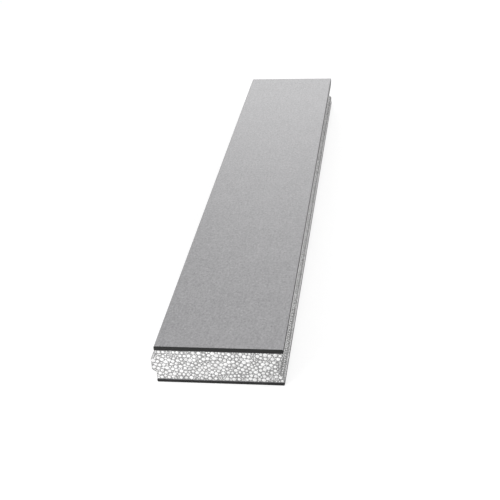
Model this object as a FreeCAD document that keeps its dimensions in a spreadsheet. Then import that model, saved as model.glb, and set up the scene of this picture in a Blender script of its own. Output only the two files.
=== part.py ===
"""Insulated sandwich panel: two fibre-cement boards bonded to a core of bead concrete.

One panel of a wall or roof that is laid edge to edge.  A moulded tongue runs down one
long edge of the core and a groove down the other, so each panel locks into the next.

Millimetres.  X runs across the panel, with the tongue at -X and the groove at +X, Y
runs along it and Z goes up through its thickness.  The origin is the middle of the
bottom board's outer face, on which the panel lies.
"""

import FreeCAD, Part
import os

import Sketcher

DOCUMENT_NAME = "SandwichPanel"
PARTS_FOLDER = "parts"
SAME_PLACE = 1e-4

# Each driving size: its alias, its value in millimetres and what it is.
DRIVING_SIZES = (
    ("panel_length", 3600, "length of the boards and the core"),
    ("face_width", 600, "width of each board and of the core between its shoulders"),
    ("top_board_thickness", 22, "thickness of the upper board"),
    ("bottom_board_thickness", 16, "thickness of the lower board"),
    ("core_thickness", 162, "bead concrete between the two boards"),
    ("tongue_depth", 21, "how far the tongue stands out of the core's edge"),
    ("tongue_root_height", 90, "height of the tongue where it leaves the edge"),
    ("tongue_tip_height", 60, "height of the tongue at its flat tip"),
    ("joint_clearance", 2, "room left around a tongue that is pushed home in a groove"),
    ("tip_radius", 5, "moulded radius at the tongue's tip and the groove's floor"),
    ("root_radius", 4, "moulded radius at the tongue's root and the groove's mouth"),
    ("board_arris", 4, "chamfer along the outer long edges of both boards"),
)

# What the driving sizes make together, as expressions that the features are bound to.
CORE_UNDERSIDE = "Sizes.bottom_board_thickness"
CORE_TOP = "Sizes.bottom_board_thickness + Sizes.core_thickness"
JOINT_LEVEL = (
    "(Sizes.bottom_board_thickness + Sizes.core_thickness + Sizes.top_board_thickness) / 2"
)
GROOVE_DEPTH = "Sizes.tongue_depth + Sizes.joint_clearance"
GROOVE_MOUTH_HEIGHT = "Sizes.tongue_root_height + 2 * Sizes.joint_clearance"
GROOVE_FLOOR_HEIGHT = "Sizes.tongue_tip_height + 2 * Sizes.joint_clearance"


def make_sheet(doc):
    """The spreadsheet of driving sizes, with one aliased cell for each."""
    sheet = doc.addObject("Spreadsheet::Sheet", "Sizes")
    for row, (alias, value, meaning) in enumerate(DRIVING_SIZES, start=1):
        sheet.set(f"A{row}", alias)
        sheet.set(f"B{row}", str(value))
        sheet.set(f"C{row}", meaning)
        sheet.setAlias(f"B{row}", alias)
    doc.recompute()
    return sheet


def add_sketch(body, name, plane_role):
    """An empty sketch on one of the body's own origin planes."""
    plane = next(f for f in body.Origin.OriginFeatures if f.Role == plane_role)
    sketch = body.newObject("Sketcher::SketchObject", name)
    sketch.AttachmentSupport = [(plane, "")]
    sketch.MapMode = "FlatFace"
    return sketch


def add_outline(sketch, corners):
    """Draws a closed outline.  Line number i starts at corner number i."""
    points = [FreeCAD.Vector(across, up, 0) for across, up in corners]
    for start, end in zip(points, points[1:] + points[:1]):
        sketch.addGeometry(Part.LineSegment(start, end), False)
    for line in range(len(points)):
        following = (line + 1) % len(points)
        sketch.addConstraint(Sketcher.Constraint("Coincident", line, 2, following, 1))


def constrain(sketch, kind, *items):
    sketch.addConstraint(Sketcher.Constraint(kind, *items))


def dimension(sketch, kind, first, second, length, expression):
    """Sets the distance from one point to another, and binds it to the sheet."""
    index = sketch.addConstraint(Sketcher.Constraint(kind, *first, *second, length))
    sketch.setExpression(f"Constraints[{index}]", expression)


def lengthwise_edges(shape, places):
    """Names of the shape's edges that run along Y through one of the (x, z) places."""
    names = []
    for number, edge in enumerate(shape.Edges, start=1):
        box = edge.BoundBox
        if box.XLength + box.ZLength > SAME_PLACE:
            continue
        if any(abs(box.XMin - x) + abs(box.ZMin - z) < SAME_PLACE for x, z in places):
            names.append(f"Edge{number}")
    if len(names) != len(places):
        raise RuntimeError(f"{len(places)} edges were wanted and {len(names)} found")
    return names


def make_core(doc, size):
    """The bead-concrete core: one moulded bar, with its tongue and its groove."""
    shoulder = size("face_width") / 2
    underside = size("bottom_board_thickness")
    top = underside + size("core_thickness")
    joint_level = (top + size("top_board_thickness")) / 2
    tongue_depth = size("tongue_depth")
    root_height = size("tongue_root_height")
    tip_height = size("tongue_tip_height")
    clearance = size("joint_clearance")
    groove_depth = tongue_depth + clearance
    mouth_height = root_height + 2 * clearance
    floor_height = tip_height + 2 * clearance

    tongue_root = [(-shoulder, joint_level + up * root_height / 2) for up in (-1, 1)]
    tongue_tip = [
        (-shoulder - tongue_depth, joint_level + up * tip_height / 2) for up in (-1, 1)
    ]
    groove_mouth = [(shoulder, joint_level + up * mouth_height / 2) for up in (1, -1)]
    groove_floor = [
        (shoulder - groove_depth, joint_level + up * floor_height / 2) for up in (1, -1)
    ]
    corners = [
        (-shoulder, underside),
        tongue_root[0],
        *tongue_tip,
        tongue_root[1],
        (-shoulder, top),
        (shoulder, top),
        groove_mouth[0],
        *groove_floor,
        groove_mouth[1],
        (shoulder, underside),
    ]

    body = doc.addObject("PartDesign::Body", "Core")
    body.Label = "core"
    section = add_sketch(body, "CoreSection", "XZ_Plane")
    add_outline(section, corners)
    middle = section.addGeometry(
        Part.LineSegment(
            FreeCAD.Vector(-shoulder, joint_level, 0), FreeCAD.Vector(shoulder, joint_level, 0)
        ),
        True,
    )
    origin, upright = (-1, 1), -2
    # The starts of the outline's lines, in the order of the corners above.
    (
        tongue_side_foot,
        root_low,
        tip_low,
        tip_high,
        root_high,
        tongue_side_top,
        groove_side_top,
        mouth_high,
        floor_high,
        floor_low,
        mouth_low,
        groove_side_foot,
    ) = [(line, 1) for line in range(len(corners))]
    for line, _ in (tongue_side_foot, root_high, groove_side_top, mouth_low):
        constrain(section, "Vertical", line)
    constrain(section, "Horizontal", tongue_side_top[0])
    constrain(section, "Horizontal", middle)
    constrain(section, "Vertical", middle, 1, *tongue_side_foot)
    constrain(section, "Vertical", middle, 2, *groove_side_foot)
    constrain(section, "Symmetric", *tongue_side_foot, *groove_side_foot, upright)
    for low, high in (
        (root_low, root_high),
        (tip_low, tip_high),
        (mouth_low, mouth_high),
        (floor_low, floor_high),
    ):
        constrain(section, "Symmetric", *low, *high, middle)
    for kind, first, second, length, expression in (
        ("DistanceX", tongue_side_foot, groove_side_foot, 2 * shoulder, "Sizes.face_width"),
        ("DistanceY", origin, tongue_side_foot, underside, CORE_UNDERSIDE),
        ("DistanceY", tongue_side_foot, tongue_side_top, top - underside, "Sizes.core_thickness"),
        ("DistanceY", origin, (middle, 1), joint_level, JOINT_LEVEL),
        ("DistanceX", tip_low, root_low, tongue_depth, "Sizes.tongue_depth"),
        ("DistanceY", root_low, root_high, root_height, "Sizes.tongue_root_height"),
        ("DistanceY", tip_low, tip_high, tip_height, "Sizes.tongue_tip_height"),
        ("DistanceX", floor_low, mouth_low, groove_depth, GROOVE_DEPTH),
        ("DistanceY", mouth_low, mouth_high, mouth_height, GROOVE_MOUTH_HEIGHT),
        ("DistanceY", floor_low, floor_high, floor_height, GROOVE_FLOOR_HEIGHT),
    ):
        dimension(section, kind, first, second, length, expression)

    bar = body.newObject("PartDesign::Pad", "CoreBar")
    bar.Profile = section
    bar.SideType = "Symmetric"
    bar.setExpression("Length", "Sizes.panel_length")
    section.Visibility = False
    doc.recompute()

    tip_rounding = body.newObject("PartDesign::Fillet", "TipRounding")
    tip_rounding.Base = (bar, lengthwise_edges(bar.Shape, tongue_tip + groove_floor))
    tip_rounding.setExpression("Radius", "Sizes.tip_radius")
    doc.recompute()

    root_rounding = body.newObject("PartDesign::Fillet", "RootRounding")
    root_edges = lengthwise_edges(tip_rounding.Shape, tongue_root + groove_mouth)
    root_rounding.Base = (tip_rounding, root_edges)
    root_rounding.setExpression("Radius", "Sizes.root_radius")
    doc.recompute()
    return body


def make_board(doc, size, name, label, thickness, faces_up, underside):
    """A facing board with a chamfer along both long edges of its outer face.

    thickness is an alias, underside the expression for the board's height, and faces_up
    is true where its outer face is the upper one.
    """
    half_width = size("face_width") / 2
    half_length = size("panel_length") / 2
    body = doc.addObject("PartDesign::Body", name)
    body.Label = label
    plan = add_sketch(body, name + "Plan", "XY_Plane")
    add_outline(
        plan,
        [
            (-half_width, -half_length),
            (half_width, -half_length),
            (half_width, half_length),
            (-half_width, half_length),
        ],
    )
    near, right, far, left = range(4)
    for line in (near, far):
        constrain(plan, "Horizontal", line)
    for line in (right, left):
        constrain(plan, "Vertical", line)
    constrain(plan, "Symmetric", near, 1, far, 1, -1, 1)
    dimension(plan, "DistanceX", (near, 1), (near, 2), 2 * half_width, "Sizes.face_width")
    dimension(plan, "DistanceY", (right, 1), (right, 2), 2 * half_length, "Sizes.panel_length")

    sheet_of_board = body.newObject("PartDesign::Pad", name + "Slab")
    sheet_of_board.Profile = plan
    sheet_of_board.setExpression("Length", f"Sizes.{thickness}")
    plan.Visibility = False
    doc.recompute()

    outer_face = size(thickness) if faces_up else 0
    arris = body.newObject("PartDesign::Chamfer", name + "Arris")
    outer_edges = [(-half_width, outer_face), (half_width, outer_face)]
    arris.Base = (sheet_of_board, lengthwise_edges(sheet_of_board.Shape, outer_edges))
    arris.setExpression("Size", "Sizes.board_arris")
    body.setExpression("Placement.Base.z", underside)
    doc.recompute()
    return body


def check(doc, bodies):
    """Raises if any object failed, or any sub-part isn't one valid solid."""
    failed = [o.Name for o in doc.Objects if {"Invalid", "Error"} & set(o.State)]
    if failed:
        raise RuntimeError(f"these objects failed: {failed}")
    for body in bodies:
        shape = body.Shape
        if shape.isNull() or not shape.isValid() or len(shape.Solids) != 1:
            raise RuntimeError(f"{body.Label} is not one valid solid")


def main():
    doc = FreeCAD.newDocument(DOCUMENT_NAME)
    sheet = make_sheet(doc)
    bodies = [
        make_board(
            doc, sheet.get, "BottomBoard", "bottom_board", "bottom_board_thickness", False, "0"
        ),
        make_core(doc, sheet.get),
        make_board(
            doc, sheet.get, "TopBoard", "top_board", "top_board_thickness", True, CORE_TOP
        ),
    ]
    check(doc, bodies)
    os.makedirs(PARTS_FOLDER, exist_ok=True)
    for body in bodies:
        body.Shape.exportStep(os.path.join(PARTS_FOLDER, f"{body.Label}.step"))
        box = body.Shape.BoundBox
        print(
            f"{body.Label}: {box.XLength:.1f} x {box.YLength:.1f} x {box.ZLength:.1f} mm,"
            f" z {box.ZMin:.1f} to {box.ZMax:.1f}, {body.Shape.Volume / 1e9:.4f} m3"
        )


main()
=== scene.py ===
"""Looks of the insulated sandwich panel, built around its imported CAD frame.

Two fibre-cement boards with charcoal cut edges hold a core of grey cement that is full
of white polystyrene beads.  The core's sawn ends show the beads as round domes.  Its
moulded long sides, with the tongue and the groove, show them pressed flat.

Metres, in the frame's own axes: X across the panel from tongue to groove, Y along it
and Z up through its thickness.
"""

import math

import bmesh
import bpy
import numpy as np
from mathutils import Matrix, Vector, noise


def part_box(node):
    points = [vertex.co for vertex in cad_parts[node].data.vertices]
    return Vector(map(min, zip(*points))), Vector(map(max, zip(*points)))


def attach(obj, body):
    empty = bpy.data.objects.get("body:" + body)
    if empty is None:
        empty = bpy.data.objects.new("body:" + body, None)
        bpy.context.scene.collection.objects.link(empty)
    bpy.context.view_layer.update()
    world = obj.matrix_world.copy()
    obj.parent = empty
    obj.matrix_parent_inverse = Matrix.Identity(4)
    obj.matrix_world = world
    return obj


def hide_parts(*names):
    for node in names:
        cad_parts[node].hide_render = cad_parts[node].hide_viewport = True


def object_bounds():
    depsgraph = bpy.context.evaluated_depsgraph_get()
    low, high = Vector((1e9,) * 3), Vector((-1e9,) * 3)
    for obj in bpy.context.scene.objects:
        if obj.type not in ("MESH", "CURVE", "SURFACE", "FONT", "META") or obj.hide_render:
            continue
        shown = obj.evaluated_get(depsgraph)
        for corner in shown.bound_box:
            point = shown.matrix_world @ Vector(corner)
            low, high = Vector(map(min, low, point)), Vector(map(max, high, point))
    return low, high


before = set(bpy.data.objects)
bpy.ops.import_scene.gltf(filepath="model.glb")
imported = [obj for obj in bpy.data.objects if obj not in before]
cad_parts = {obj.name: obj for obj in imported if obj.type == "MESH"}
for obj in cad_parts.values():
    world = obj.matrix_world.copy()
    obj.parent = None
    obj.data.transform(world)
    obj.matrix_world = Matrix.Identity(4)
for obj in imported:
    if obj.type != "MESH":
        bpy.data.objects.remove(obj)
cad_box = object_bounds()

MILLIMETRE = 0.001
rng = np.random.default_rng(20)

# ---------------------------------------------------------------- sizes from the frame

top_low, top_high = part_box("top_board")
core_low, core_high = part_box("core")
near, far = core_low.y, core_high.y
shoulder = top_high.x
face_width = top_high.x - top_low.x


def cad_outline(node, side):
    """One long side of a node's section, as z and x from bottom to top; side is -1 or 1."""
    points = [v.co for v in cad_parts[node].data.vertices]
    rim = {(round(p.z, 5), round(p.x, 5)) for p in points if p.x * side > 0}
    z, x = np.array(sorted(rim)).T
    return z, x


# ------------------------------------------------------------------------- mesh helpers


def new_piece(name, points, faces, materials, face_materials=None, smooth=True):
    """A mesh piece of the panel, with its normals turned outwards."""
    mesh = bpy.data.meshes.new(name)
    mesh.from_pydata(points.tolist(), [], faces)
    for material in materials:
        mesh.materials.append(material)
    if face_materials is not None:
        mesh.polygons.foreach_set("material_index", face_materials)
    turned = bmesh.new()
    turned.from_mesh(mesh)
    bmesh.ops.recalc_face_normals(turned, faces=turned.faces)
    turned.to_mesh(mesh)
    turned.free()
    mesh.polygons.foreach_set("use_smooth", [smooth] * len(mesh.polygons))
    piece = bpy.data.objects.new(name, mesh)
    bpy.context.scene.collection.objects.link(piece)
    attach(piece, "root")
    return piece


def add_point_values(piece, name, values):
    """Gives every vertex a number that materials read by this name."""
    attribute = piece.data.attributes.new(name, "FLOAT", "POINT")
    attribute.data.foreach_set("value", np.asarray(values, dtype=float))


def grid_faces(indices):
    """Quads over a two-dimensional array of vertex numbers."""
    corners = (indices[:-1, :-1], indices[1:, :-1], indices[1:, 1:], indices[:-1, 1:])
    return np.stack(corners, axis=-1).reshape(-1, 4).tolist()


def noise_at(points, size, octaves=3, shift=0.0):
    """Fractal noise, about -1 to 1, at an array of points, with features of about this size."""
    offset = Vector((shift, 2.3 * shift, -1.7 * shift))
    values = [
        noise.fractal(Vector(p) / size + offset, 1.0, 2.0, octaves)
        for p in points.reshape(-1, 3).tolist()
    ]
    return np.reshape(values, points.shape[:-1])


# --------------------------------------------------------------------------------- bars
#
# The core and both boards are bars: a section swept along Y.  Each height in a section
# has one left and one right end, so its two end faces are grids of heights by columns.

COLUMNS = 201
# Less than any step along a bar's edges, so that no two corners of a lid fall together.
LID_BORDER = 2.8 * MILLIMETRE


class Bar:
    """The vertices and faces of a closed bar, its parts shared where they meet.

    ends and sides hold arrays of vertex numbers, rows going upwards, each with the sign
    of the way into the bar.
    """

    def __init__(self, heights, left, right, stations):
        across = np.linspace(0, 1, COLUMNS)
        end_face = np.zeros((len(heights), COLUMNS, 3))
        end_face[..., 0] = left[:, None] + across * (right - left)[:, None]
        end_face[..., 2] = heights[:, None]
        side_face = np.zeros((len(heights), len(stations), 3))
        side_face[..., 1] = stations
        side_face[..., 2] = heights[:, None]
        self.points = np.empty((0, 3))
        self.near = self._add(end_face + (0, stations[0], 0))
        self.far = self._add(end_face + (0, stations[-1], 0))
        self.left = self._add_side(side_face, left, 0)
        self.right = self._add_side(side_face, right, -1)
        self.ends = ((self.near, 1), (self.far, -1))
        self.sides = ((self.left, 1), (self.right, -1))
        self.faces = grid_faces(self.near) + grid_faces(self.far)
        self.first_side_face = len(self.faces)
        self.faces += grid_faces(self.left) + grid_faces(self.right)
        self.first_lid_face = len(self.faces)
        self._add_lid(0)
        self._add_lid(-1)

    def _add(self, grid):
        """New vertices, returned as an array of their numbers."""
        first = len(self.points)
        self.points = np.vstack((self.points, grid.reshape(-1, 3)))
        return np.arange(first, len(self.points)).reshape(grid.shape[:-1])

    def _add_side(self, side_face, x, column):
        """A long side between one column of the near end and the same one of the far end."""
        inner = side_face[:, 1:-1].copy()
        inner[..., 0] = x[:, None]
        near_edge = self.near[:, column, None]
        far_edge = self.far[:, column, None]
        return np.hstack((near_edge, self._add(inner), far_edge))

    def _add_lid(self, row):
        """Closes the bar above or below: a narrow border, then a flat face in one fan."""
        rim = np.concatenate(
            (
                self.near[row, :-1],
                self.right[row, :-1],
                self.far[row, :0:-1],
                self.left[row, :0:-1],
            )
        )
        border = self.points[rim].copy()
        for axis in (0, 1):
            low, high = border[:, axis].min() + LID_BORDER, border[:, axis].max() - LID_BORDER
            border[:, axis] = border[:, axis].clip(low, high)
        inner = self._add(border)
        centre = self._add(border.mean(axis=0)[None])[0]
        following = np.roll(np.arange(len(rim)), -1)
        self.faces += np.stack((rim, rim[following], inner[following], inner), axis=1).tolist()
        self.faces += [[centre, a, b] for a, b in zip(inner.tolist(), inner[following].tolist())]


# ------------------------------------------------------------------------- node helpers


def new_material(name, roughness, specular):
    """A material with its shader, and its node tree to build on."""
    material = bpy.data.materials.new(name)
    material.use_nodes = True
    tree = material.node_tree
    shader = tree.nodes["Principled BSDF"]
    shader.inputs["Roughness"].default_value = roughness
    shader.inputs["Specular IOR Level"].default_value = specular
    return material, tree, shader


def put(tree, value, socket):
    """Sets a socket to a number or colour, or links it to another socket."""
    if isinstance(value, bpy.types.NodeSocket):
        tree.links.new(value, socket)
    else:
        socket.default_value = value


def coordinates(tree, stretch=(1, 1, 1)):
    """Object coordinates, in metres, with each axis multiplied."""
    source = tree.nodes.new("ShaderNodeTexCoord")
    mapping = tree.nodes.new("ShaderNodeMapping")
    mapping.inputs["Scale"].default_value = stretch
    tree.links.new(source.outputs["Object"], mapping.inputs["Vector"])
    return mapping.outputs["Vector"]


def noise_field(tree, size, detail, roughness=0.55, stretch=(1, 1, 1)):
    """Noise, 0 to 1, with features of about the given size in metres."""
    node = tree.nodes.new("ShaderNodeTexNoise")
    node.inputs["Scale"].default_value = 1 / size
    node.inputs["Detail"].default_value = detail
    node.inputs["Roughness"].default_value = roughness
    tree.links.new(coordinates(tree, stretch), node.inputs["Vector"])
    return node.outputs["Fac"]


def cells(tree, size, feature="F1"):
    """Distances in Voronoi cells of the given size in metres, as shares of that size."""
    node = tree.nodes.new("ShaderNodeTexVoronoi")
    node.feature = feature
    node.inputs["Scale"].default_value = 1 / size
    tree.links.new(coordinates(tree), node.inputs["Vector"])
    return node.outputs["Distance"]


def point_value(tree, name):
    """A number that every vertex carries."""
    node = tree.nodes.new("ShaderNodeAttribute")
    node.attribute_name = name
    return node.outputs["Fac"]


def remap(tree, value, from_low, from_high, to_low=0.0, to_high=1.0):
    """Stretches a range of values to another, and clamps what lies outside."""
    node = tree.nodes.new("ShaderNodeMapRange")
    for name, number in (
        ("From Min", from_low),
        ("From Max", from_high),
        ("To Min", to_low),
        ("To Max", to_high),
    ):
        node.inputs[name].default_value = number
    tree.links.new(value, node.inputs["Value"])
    return node.outputs["Result"]


def combine(tree, operation, *values):
    """One sum or product, or the like, of numbers or sockets."""
    node = tree.nodes.new("ShaderNodeMath")
    node.operation = operation
    for value, socket in zip(values, node.inputs):
        put(tree, value, socket)
    return node.outputs["Value"]


def weighted_sum(tree, *terms):
    """The sum of several values, each times its weight."""
    total = 0.0
    for value, weight in terms:
        total = combine(tree, "MULTIPLY_ADD", value, weight, total)
    return total


def blend_colours(tree, amount, first, second):
    """The second colour over the first, by an amount from 0 to 1."""
    node = tree.nodes.new("ShaderNodeMix")
    node.data_type = "RGBA"
    under, over = (socket for socket in node.inputs if socket.type == "RGBA")
    put(tree, amount, node.inputs["Factor"])
    put(tree, first, under)
    put(tree, second, over)
    return next(socket for socket in node.outputs if socket.type == "RGBA")


def add_bump(tree, shader, height, distance, strength):
    """Fine relief, of the given depth in metres."""
    node = tree.nodes.new("ShaderNodeBump")
    node.inputs["Strength"].default_value = strength
    node.inputs["Distance"].default_value = distance
    tree.links.new(height, node.inputs["Height"])
    tree.links.new(node.outputs["Normal"], shader.inputs["Normal"])


def grey(level, red=0.0, blue=0.0):
    """A linear grey, with a share more of red or of blue."""
    return (level * (1 + red), level, level * (1 + blue), 1)


# ---------------------------------------------------------------------------- materials


def make_cement():
    """Grey cement between the beads: cloudy and sandy, with pale crumbs, and dark spots of painted
    shade that stand for pores.
    """
    material, tree, shader = new_material("bead_concrete_cement", 0.92, 0.25)
    clouds = remap(tree, noise_field(tree, 30 * MILLIMETRE, 3), 0.35, 0.65)
    colour = blend_colours(tree, clouds, grey(0.225, 0.004), grey(0.325, 0.008))
    sand = remap(tree, noise_field(tree, 2.2 * MILLIMETRE, 2), 0.3, 0.7, 0.0, 0.3)
    colour = blend_colours(tree, sand, colour, grey(0.40))
    crumbs = remap(tree, cells(tree, 3.5 * MILLIMETRE), 0.16, 0.10, 0.0, 0.55)
    colour = blend_colours(tree, crumbs, colour, grey(0.7))
    # Dark spots of painted shade stand for pores, which neither the mesh nor the bump sinks.
    pore_shade = remap(tree, noise_field(tree, 4 * MILLIMETRE, 2), 0.30, 0.24, 0.0, 0.7)
    colour = blend_colours(tree, pore_shade, colour, grey(0.09))
    put(tree, colour, shader.inputs["Base Color"])
    add_bump(tree, shader, noise_field(tree, 1.2 * MILLIMETRE, 3), 0.6 * MILLIMETRE, 0.7)
    return material


def make_bead_material():
    """White expanded polystyrene: matt closed cells with painted shade in the creases between them,
    and smears of cement on some beads.
    """
    material, tree, shader = new_material("polystyrene_bead", 0.75, 0.2)
    clean = blend_colours(tree, point_value(tree, "tone"), grey(0.83, 0.004), grey(0.94, 0.002))
    patches = remap(tree, noise_field(tree, 3 * MILLIMETRE, 4, 0.7), 0.50, 0.62)
    film = combine(tree, "MULTIPLY", patches, point_value(tree, "film"))
    colour = blend_colours(tree, film, clean, grey(0.42, 0.006))
    inside_cell = remap(tree, cells(tree, 1.2 * MILLIMETRE, "DISTANCE_TO_EDGE"), 0.0, 0.14)
    # The cells' edges, which the bump sinks as creases, are greyed: this is painted shade in the
    # creases.
    cell_crease_shade = remap(tree, inside_cell, 0.0, 1.0, 0.12, 0.0)
    colour = blend_colours(tree, cell_crease_shade, colour, grey(0.6))
    put(tree, colour, shader.inputs["Base Color"])
    add_bump(tree, shader, inside_cell, 0.2 * MILLIMETRE, 0.75)
    return material


def make_board_face():
    """The broad face of a fibre-cement board: mid grey, finely mottled and speckled."""
    material, tree, shader = new_material("board_face", 0.48, 0.5)
    streaks = noise_field(tree, 20 * MILLIMETRE, 3, 0.6, (1, 0.12, 1))
    blotches = noise_field(tree, 160 * MILLIMETRE, 3, 0.5)
    grain = noise_field(tree, 9 * MILLIMETRE, 3, 0.6, (1, 0.6, 1))
    tone = weighted_sum(tree, (streaks, 0.15), (blotches, 0.1), (grain, 0.75))
    mottling = remap(tree, tone, 0.36, 0.64)
    colour = blend_colours(
        tree, mottling, grey(0.285, 0.012, 0.035), grey(0.433, 0.012, 0.03)
    )
    flecks = noise_field(tree, 11 * MILLIMETRE, 2.5, 0.65)
    pale = remap(tree, flecks, 0.61, 0.70, 0.0, 0.5)
    colour = blend_colours(tree, pale, colour, grey(0.62))
    dark = remap(tree, flecks, 0.39, 0.30, 0.0, 0.6)
    colour = blend_colours(tree, dark, colour, grey(0.17))
    put(tree, colour, shader.inputs["Base Color"])
    add_bump(tree, shader, noise_field(tree, 3 * MILLIMETRE, 3), 0.15 * MILLIMETRE, 0.4)
    return material


def make_cut_edge():
    """A board's sawn edge: charcoal, with thin layers along it and dust in the grain."""
    material, tree, shader = new_material("board_cut_edge", 0.85, 0.3)
    layers = noise_field(tree, 1.6 * MILLIMETRE, 4, 0.6, (0.03, 0.03, 1))
    grit = noise_field(tree, 2.5 * MILLIMETRE, 3)
    tone = weighted_sum(tree, (layers, 0.6), (grit, 0.4))
    colour = blend_colours(tree, remap(tree, tone, 0.35, 0.65), grey(0.013), grey(0.030))
    put(tree, colour, shader.inputs["Base Color"])
    add_bump(tree, shader, tone, 0.5 * MILLIMETRE, 0.6)
    return material


# --------------------------------------------------------------------------- the boards

BOARD_STATIONS = 1001
# Rows of vertices across a board's edge: even ones to its chamfer, then at these shares of it.
STRAIGHT_ROWS = 6
CHAMFER_ROWS = np.array((0.35, 0.7, 1))
# How deep saw marks and wear go, how large their features are, and how far the arris at
# an end is set back.
SAW_MARKS = 0.1 * MILLIMETRE
SAW_MARK_SIZE = 6 * MILLIMETRE
ARRIS_WEAR = 0.1 * MILLIMETRE
ARRIS_WEAR_SIZE = 30 * MILLIMETRE
END_ARRIS = 0.5 * MILLIMETRE


def worn_depth(places, chips_per_metre):
    """How deep an arris is worn at each place along it: a little all over, and in chips."""
    line = np.outer(places, (1, 0, 0))
    depth = ARRIS_WEAR * (1 + noise_at(line, ARRIS_WEAR_SIZE, shift=rng.uniform(0, 9)))
    start, end = places.min(), places.max()
    for _ in range(int((end - start) * chips_per_metre)):
        centre = rng.uniform(start, end)
        half_width = rng.uniform(2, 6) * MILLIMETRE
        deepest = rng.uniform(0.3, 0.9) * MILLIMETRE
        depth += deepest * (1 - ((places - centre) / half_width) ** 2).clip(0)
    return depth


def make_board(node, outer, materials):
    """A board over its CAD node.  outer is 1 where its outer face is the upper one, or -1."""
    low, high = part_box(node)
    inner_height, outer_height = (low.z, high.z)[::outer]
    z, x = cad_outline(node, 1)
    chamfer = high.x - x[np.isclose(z, outer_height, atol=0.01 * MILLIMETRE)].min()
    straight = high.z - low.z - chamfer
    even = np.linspace(0, straight, STRAIGHT_ROWS)
    outwards = np.concatenate((even, straight + chamfer * CHAMFER_ROWS))
    heights = inner_height + outer * outwards
    reach = high.x - (outwards - straight).clip(0)
    stations = np.linspace(near, far, BOARD_STATIONS)
    # A bar's rows go upwards, so a board that faces down is built from its chamfer up.
    rows = np.arange(len(outwards))[::outer]
    chamfer_row = STRAIGHT_ROWS - 1
    bar = Bar(heights[rows], -reach[rows], reach[rows], stations)
    points = bar.points

    # The cut ends are a little rough, and the outer arrises are worn and chipped.
    for end, inwards in bar.ends:
        points[end, 1] += inwards * SAW_MARKS * (1 + noise_at(points[end], SAW_MARK_SIZE)).clip(0)
        rim = end[rows[-1]]
        worn = worn_depth(points[rim, 0], chips_per_metre=4)
        points[rim, 1] += inwards * (END_ARRIS + worn)
        points[rim, 2] -= outer * worn * 0.6
    for side, inwards in bar.sides:
        worn = worn_depth(stations, chips_per_metre=2)
        for row in rows[chamfer_row:]:
            points[side[row], 0] += inwards * worn
            points[side[row], 2] -= outer * worn * 0.5

    # The chamfers look as the broad faces do.
    face, cut_edge = 0, 1
    kinds = np.full(len(bar.faces), cut_edge)
    kinds[bar.first_lid_face :] = face
    chamfered = (np.arange(len(rows) - 1) >= chamfer_row)[::outer]
    both_sides = np.tile(np.repeat(chamfered, len(stations) - 1), 2)
    kinds[bar.first_side_face : bar.first_lid_face][both_sides] = face
    piece = new_piece(node + "_sheet", points, bar.faces, materials, kinds, smooth=False)
    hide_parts(node)


# ------------------------------------------------------------- the core and its cement

CORE_STATIONS = 430
CORE_ROW_STEP = 3 * MILLIMETRE
LEAST_ROW_STEP = 1.2 * MILLIMETRE
# How far the cement lies inside the CAD faces, which the highest beads reach.
END_RECESS = 2.0 * MILLIMETRE
SIDE_RECESS = 1.3 * MILLIMETRE
# How deep the cement's unevenness is, and how large its features are.
END_RELIEF = 0.5 * MILLIMETRE
END_RELIEF_SIZE = 12 * MILLIMETRE
SIDE_RELIEF = 0.35 * MILLIMETRE
SIDE_RELIEF_SIZE = 20 * MILLIMETRE

left_z, left_x = cad_outline("core", -1)
right_z, right_x = cad_outline("core", 1)


def core_heights():
    """Even steps up the core, and the levels at which either long side turns."""
    steps = round((core_high.z - core_low.z) / CORE_ROW_STEP)
    even = np.linspace(core_low.z, core_high.z, steps + 1)
    levels = [core_low.z]
    for level in np.sort(np.concatenate((even, left_z, right_z))):
        if min(level - levels[-1], core_high.z - level) >= LEAST_ROW_STEP:
            levels.append(level)
    return np.array(levels + [core_high.z])


def make_cement_body(material):
    """The cement that the beads sit in, drawn in from the CAD faces by what the beads rise."""
    heights = core_heights()
    stations = np.linspace(near + END_RECESS, far - END_RECESS, CORE_STATIONS)
    left = np.interp(heights, left_z, left_x) + SIDE_RECESS
    right = np.interp(heights, right_z, right_x) - SIDE_RECESS
    bar = Bar(heights, left, right, stations)
    points = bar.points
    for end, inwards in bar.ends:
        points[end, 1] += inwards * END_RELIEF * noise_at(points[end], END_RELIEF_SIZE)
    for side, inwards in bar.sides:
        inner = side[1:-1, 1:-1]
        points[inner, 0] += inwards * SIDE_RELIEF * noise_at(points[inner], SIDE_RELIEF_SIZE)
    piece = new_piece("core_cement", points, bar.faces, [material])
    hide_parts("core")


# ---------------------------------------------------------------------------- the beads

# Beads and crumbs tried on a face: how many, and their smallest and largest radii.
END_BEADS = (740, 5.1 * MILLIMETRE, 10.4 * MILLIMETRE)
END_CRUMBS = (440, 1.6 * MILLIMETRE, 3.9 * MILLIMETRE)
SIDE_BEADS = (2700, 4.0 * MILLIMETRE, 10 * MILLIMETRE)
SIDE_CRUMBS = (3200, 2.0 * MILLIMETRE, 4.2 * MILLIMETRE)
# Above 1, small radii are commoner than large ones.
SMALL_LEAN = 1.2
# The size of the places where the beads of an end are crowded, or sparse.
CROWDING_SIZE = 45 * MILLIMETRE
# The least cement between the end beads and the long sides, and between any bead and a
# board or a turn of a long side.
CEMENT_SKIN = 2.4 * MILLIMETRE
BEAD_GAP = 0.6 * MILLIMETRE
# How far a bead's outline departs from a circle, at most, as shares of its radius.
MOST_OVAL = 0.07
MOST_LUMPY = 0.03
# A long side's moulded radii have shorter runs than the first of these, and bear crumbs
# alone.  Runs shorter than the second, such as the slopes of the tongue and groove, bear
# beads that take only a share of the room.
SHORTEST_STRAIGHT = 8 * MILLIMETRE
SHORT_RUN = 30 * MILLIMETRE
SHORT_RUN_SHARE = 0.75
# Half the length over which a long side's slope is taken, so that domes turn with it.
PROBE = 1.5 * MILLIMETRE
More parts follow.
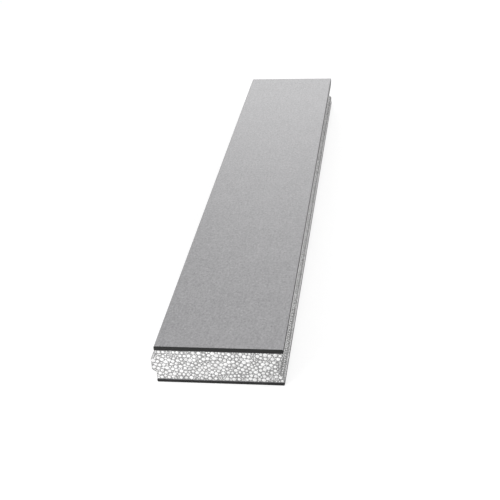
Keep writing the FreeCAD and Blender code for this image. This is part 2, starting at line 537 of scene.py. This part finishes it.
# Dome profiles, from near the crown outwards: how far out as a share of the radius, and
# how high as a share of the rise, or below zero how deep under the foot in metres.
ROUND_DOME = ((0.3, 0.96), (0.55, 0.84), (0.75, 0.64), (0.89, 0.4), (0.98, 0.12), (1.0, -0.0012))
PRESSED_DOME = ((0.6, 1.0), (0.88, 0.78), (1.0, -0.0006))
LOW_DOME = ((0.75, 0.9), (1.0, -0.0006))


def bead_radii(count, smallest, largest):
    """Random radii, from large to small."""
    shares = rng.uniform(0, 1, count) ** SMALL_LEAN
    return np.sort(smallest + (largest - smallest) * shares)[::-1]


def scatter(radii, room, low, high, window, tries, taken=((), ()), hugging=False):
    """Discs of these radii, each put where it clears the edge and the discs around it.

    room gives the free distance round spots, low and high are the area's corners, and
    taken holds the spots and sizes of discs that are there already.  Of the spots tried
    for a disc, all within a window along the first axis, it takes the one that is closest
    to its neighbours, or with hugging to them or to the edge.
    """
    spots = np.vstack((np.reshape(taken[0], (-1, 2)), np.empty((len(radii), 2))))
    sizes = np.concatenate((taken[1], np.empty(len(radii))))
    first = count = len(taken[1])
    # Discs further off than this aren't compared, so a few crumbs run into a large bead.
    reach = window / 2 + 2 * radii[0]
    for radius in radii:
        start = rng.uniform(low[0] - window / 2, high[0] - window / 2)
        tried = rng.uniform((start, low[1]), (start + window, high[1]), (tries, 2))
        to_edge = room(tried) - radius
        tried, to_edge = tried[to_edge >= 0], to_edge[to_edge >= 0]
        if not len(tried):
            continue
        close = np.abs(spots[:count, 0] - start - window / 2) < reach
        if close.any():
            away = np.linalg.norm(tried[:, None] - spots[:count][close], axis=2)
            gaps = (away - sizes[:count][close]).min(axis=1) - radius
            if hugging:
                gaps = np.minimum(gaps, to_edge)
            fits = np.flatnonzero(gaps >= 0)
            if not len(fits):
                continue
            chosen = tried[fits[gaps[fits].argmin()]]
        else:
            chosen = tried[0]
        spots[count], sizes[count] = chosen, radius
        count += 1
    return spots[first:count], sizes[first:count]


def make_beads(name, spots, radii, rises, films, place, profile, segments, material):
    """Closed domes, as one mesh.  place turns two surface coordinates and a height to a point.

    Each dome has its own tone, and its film says how much cement is smeared on it.
    """
    count = len(radii)
    turn = rng.uniform(0, 2 * math.pi, (count, 1))
    angles = turn + np.arange(segments) * 2 * math.pi / segments
    oval = rng.uniform(0, MOST_OVAL, (count, 1)) * np.cos(2 * angles)
    lumpy = rng.uniform(0, MOST_LUMPY, (count, 1)) * np.cos(3 * angles + turn)
    outline = radii[:, None] * (1 + oval + lumpy - MOST_LUMPY)
    fractions, levels = np.array(profile).T
    reach = outline[:, None, :] * fractions[:, None]
    along = spots[:, 0, None, None] + reach * np.cos(angles)[:, None, :]
    up = spots[:, 1, None, None] + reach * np.sin(angles)[:, None, :]
    height = np.where(levels >= 0, levels * rises[:, None], levels)[..., None] + 0 * along
    rings = place(along, up, height).reshape(count, -1, 3)
    crowns = place(spots[:, 0], spots[:, 1], rises)[:, None]
    points = np.concatenate((crowns, rings), axis=1)
    per_bead = points.shape[1]

    ring_numbers = 1 + np.arange(per_bead - 1).reshape(-1, segments)
    following = np.roll(ring_numbers, -1, axis=1)
    fan = np.stack((0 * ring_numbers[0], ring_numbers[0], following[0]), axis=1)
    bands = np.stack((ring_numbers[:-1], ring_numbers[1:], following[1:], following[:-1]), axis=-1)
    bands = bands.reshape(-1, 4)
    faces = []
    for first in range(0, count * per_bead, per_bead):
        faces += (fan + first).tolist() + (bands + first).tolist()
        faces.append((ring_numbers[-1] + first).tolist())
    piece = new_piece(name, points.reshape(-1, 3), faces, [material])
    add_point_values(piece, "tone", np.repeat(rng.uniform(0, 1, count), per_bead))
    add_point_values(piece, "film", np.repeat(films, per_bead))


def end_room(spots):
    """Free distance from spots on an end face, as x and z, to the boards and long sides."""
    sides = [np.column_stack(side) for side in ((left_x, left_z), (right_x, right_z))]
    starts = np.vstack([side[:-1] for side in sides])
    runs = np.vstack([side[1:] for side in sides]) - starts
    offsets = spots[:, None] - starts
    share = ((offsets * runs).sum(axis=2) / (runs**2).sum(axis=1)).clip(0, 1)
    to_sides = np.linalg.norm(offsets - share[..., None] * runs, axis=2).min(axis=1)
    x, z = spots.T
    to_boards = np.minimum(z - core_low.z, core_high.z - z)
    inside = (x > np.interp(z, left_z, left_x)) & (x < np.interp(z, right_z, right_x))
    return np.where(inside, np.minimum(to_sides - CEMENT_SKIN, to_boards - BEAD_GAP), -1)


def make_end_beads(end_name, inwards, material):
    """The beads of one sawn end, fewer and smaller in some places, with crumbs between."""
    plane = (near if inwards > 0 else far) + inwards * END_RECESS

    def place(x, z, height):
        return np.stack((x, plane - inwards * height, z), axis=-1)

    low, high = (core_low.x, core_low.z), (core_high.x, core_high.z)
    spots, rooms = scatter(
        bead_radii(*END_BEADS),
        end_room,
        low,
        high,
        window=120 * MILLIMETRE,
        tries=260,
        hugging=True,
    )
    # Where the beads are sparse, some are left out and the others are smaller.
    crowded = noise_at(np.insert(spots, 1, inwards, axis=1), CROWDING_SIZE, octaves=2)
    kept = rng.uniform(0, 1, len(rooms)) < 1.02 + 0.6 * crowded
    spots, rooms, crowded = spots[kept], rooms[kept], crowded[kept]
    radii = rooms * (rng.uniform(0.72, 0.98, len(rooms)) + 0.24 * crowded).clip(0.55, 1)
    small_spots, small = scatter(
        bead_radii(*END_CRUMBS),
        end_room,
        low,
        high,
        window=80 * MILLIMETRE,
        tries=40,
        taken=(spots, rooms),
    )

    rises = (END_RECESS * rng.uniform(0.6, 1.0, len(radii))).clip(0, radii * 0.6)
    films = rng.uniform(0, 1, len(radii)) ** 4
    name = f"beads_{end_name}_end"
    make_beads(name, spots, radii, rises, films, place, ROUND_DOME, 20, material)
    rises = (small * rng.uniform(0.3, 0.55, len(small))).clip(0, END_RECESS)
    films = rng.uniform(0, 1, len(small)) ** 3
    name = f"bead_crumbs_{end_name}_end"
    make_beads(name, small_spots, small, rises, films, place, PRESSED_DOME, 10, material)


def make_side_beads(side_name, outline_z, outline_x, outwards, material):
    """The beads that show on a moulded long side, pressed flat by the mould."""
    steps = np.hypot(np.diff(outline_z), np.diff(outline_x))
    distance = np.concatenate(([0], np.cumsum(steps)))
    total = distance[-1]

    def on_outline(along):
        return np.stack([np.interp(along, distance, outline) for outline in (outline_x, outline_z)])

    def place(y, along, height):
        x, z = on_outline(along)
        slope_x, slope_z = on_outline(along + PROBE) - on_outline(along - PROBE)
        size = np.hypot(slope_x, slope_z)
        lift = outwards * (height - SIDE_RECESS)
        return np.stack((x + lift * slope_z / size, y, z - lift * slope_x / size), axis=-1)

    def to_ends(y):
        return np.minimum(y - near - END_RECESS, far - END_RECESS - y)

    def bead_room(spots):
        y, along = spots.T
        run = np.searchsorted(distance, along).clip(1, len(steps)) - 1
        free = np.minimum(along - distance[run], distance[run + 1] - along)
        free = np.where(steps[run] > SHORTEST_STRAIGHT, free - BEAD_GAP, -1)
        free = np.where(steps[run] < SHORT_RUN, SHORT_RUN_SHARE * free, free)
        return np.minimum(to_ends(y), free)

    def crumb_room(spots):
        y, along = spots.T
        return np.minimum(to_ends(y), np.minimum(along, total - along) - BEAD_GAP)

    low, high = (near, 0), (far, total)
    spots, radii = scatter(
        bead_radii(*SIDE_BEADS),
        bead_room,
        low,
        high,
        window=120 * MILLIMETRE,
        tries=120,
    )
    small_spots, small = scatter(
        bead_radii(*SIDE_CRUMBS),
        crumb_room,
        low,
        high,
        window=100 * MILLIMETRE,
        tries=60,
        taken=(spots, radii),
    )

    rises = SIDE_RECESS * rng.uniform(0.55, 1.0, len(radii))
    films = rng.uniform(0, 1, len(radii)) ** 2
    shown = radii * rng.uniform(0.8, 0.99, len(radii))
    name = f"beads_{side_name}_side"
    make_beads(name, spots, shown, rises, films, place, PRESSED_DOME, 14, material)
    rises = SIDE_RECESS * rng.uniform(0.45, 0.9, len(small))
    films = rng.uniform(0, 1, len(small)) ** 1.5
    name = f"bead_crumbs_{side_name}_side"
    make_beads(name, small_spots, small * 0.96, rises, films, place, LOW_DOME, 9, material)


# ---------------------------------------------------------------------------- the panel

board_materials = [make_board_face(), make_cut_edge()]
cement = make_cement()
bead_material = make_bead_material()

make_board("bottom_board", -1, board_materials)
make_board("top_board", 1, board_materials)
make_cement_body(cement)
make_end_beads("near", 1, bead_material)
make_end_beads("far", -1, bead_material)
make_side_beads("tongue", left_z, left_x, -1, bead_material)
make_side_beads("groove", right_z, right_x, 1, bead_material)

# ------------------------------------------------------------- floor, light and camera

FLOOR_HALF_SIDE = 40
FLOOR_GAP = 0.2 * MILLIMETRE
# What the camera sees of the floor: this glow, and this grey under the lamps.
FLOOR_GLOW = 0.74
FLOOR_SEEN = 0.42
WORLD_FILL = 0.545
# The camera's sensor and focal length, in millimetres.
SENSOR_WIDTH = 36
LENS = 72.4
# From the middle of the near top edge to the camera, in widths of the panel's face.
CAMERA_PLACE = Vector((1.309, -6.189, 4.327))
# In degrees: turned from +Y towards +X, tipped up, and rolled clockwise.
CAMERA_ANGLES = (-9.28, -28.96, 3.75)


def make_floor():
    """A white floor that shows as the background does, and still takes a soft shadow."""
    material, tree, shader = new_material("studio_floor", 0.9, 0.0)
    shader.inputs["Base Color"].default_value = grey(0.8)
    seen = tree.nodes.new("ShaderNodeBsdfDiffuse")
    seen.inputs["Color"].default_value = grey(FLOOR_SEEN)
    glow = tree.nodes.new("ShaderNodeEmission")
    glow.inputs["Color"].default_value = grey(1.0)
    glow.inputs["Strength"].default_value = FLOOR_GLOW
    both = tree.nodes.new("ShaderNodeAddShader")
    tree.links.new(seen.outputs[0], both.inputs[0])
    tree.links.new(glow.outputs[0], both.inputs[1])
    path = tree.nodes.new("ShaderNodeLightPath")
    choice = tree.nodes.new("ShaderNodeMixShader")
    tree.links.new(path.outputs["Is Camera Ray"], choice.inputs[0])
    tree.links.new(shader.outputs[0], choice.inputs[1])
    tree.links.new(both.outputs[0], choice.inputs[2])
    output = tree.nodes["Material Output"]
    tree.links.new(choice.outputs[0], output.inputs["Surface"])
    half = FLOOR_HALF_SIDE
    mesh = bpy.data.meshes.new("studio_floor")
    corners = [(-half, -half, 0), (half, -half, 0), (half, half, 0), (-half, half, 0)]
    mesh.from_pydata(corners, [], [(0, 1, 2, 3)])
    mesh.materials.append(material)
    floor = bpy.data.objects.new("studio_floor", mesh)
    floor.location.z = cad_box[0].z - FLOOR_GAP
    bpy.context.scene.collection.objects.link(floor)


def make_world():
    """An even white surround: white where it is seen, and a fill light elsewhere."""
    world = bpy.data.worlds.new("studio")
    world.use_nodes = True
    tree = world.node_tree
    background = tree.nodes["Background"]
    background.inputs["Color"].default_value = grey(1.0)
    path = tree.nodes.new("ShaderNodeLightPath")
    seen = combine(tree, "MAXIMUM", path.outputs["Is Camera Ray"], path.outputs["Is Glossy Ray"])
    seen = combine(tree, "MAXIMUM", seen, path.outputs["Is Transmission Ray"])
    put(tree, remap(tree, seen, 0, 1, WORLD_FILL, 1.0), background.inputs["Strength"])
    bpy.context.scene.world = world


def make_softbox(name, place, target, width, height, power):
    """A rectangular lamp at a place, turned to its target."""
    lamp = bpy.data.lights.new(name, "AREA")
    lamp.shape = "RECTANGLE"
    lamp.size, lamp.size_y = width, height
    lamp.energy = power
    softbox = bpy.data.objects.new(name, lamp)
    softbox.location = place
    aim = Vector(target) - Vector(place)
    softbox.rotation_euler = aim.to_track_quat("-Z", "Y").to_euler()
    bpy.context.scene.collection.objects.link(softbox)


def make_camera():
    """A camera before and above the near end, a little to its right and slightly rolled."""
    lens_data = bpy.data.cameras.new("camera")
    lens_data.sensor_width = SENSOR_WIDTH
    lens_data.lens = LENS
    camera = bpy.data.objects.new("camera", lens_data)
    bpy.context.scene.collection.objects.link(camera)
    place = Vector((0, near, top_high.z)) + face_width * CAMERA_PLACE
    turned, tipped, rolled = (math.radians(angle) for angle in CAMERA_ANGLES)
    forward = Vector(
        (
            math.sin(turned) * math.cos(tipped),
            math.cos(turned) * math.cos(tipped),
            math.sin(tipped),
        )
    )
    level = forward.cross(Vector((0, 0, 1))).normalized()
    right = Matrix.Rotation(rolled, 3, forward) @ level
    up = right.cross(forward)
    turn = Matrix((right, up, -forward)).transposed().to_4x4()
    camera.matrix_world = Matrix.Translation(place) @ turn
    bpy.context.scene.camera = camera


make_floor()
make_world()
make_softbox("back", (-0.4, far + 3.2, 2.2), (0, far - 0.8, top_high.z), 3.0, 2.0, 70)
make_softbox("front", (-1.8, near - 2.1, 0.8), (0, near, core_low.z), 1.8, 1.1, 62)
make_softbox("side", (3.2, near + 0.6, 0.7), (shoulder, near + 0.6, core_low.z), 3.0, 1.0, 28)
make_camera()
bpy.context.scene.view_settings.view_transform = "Standard"
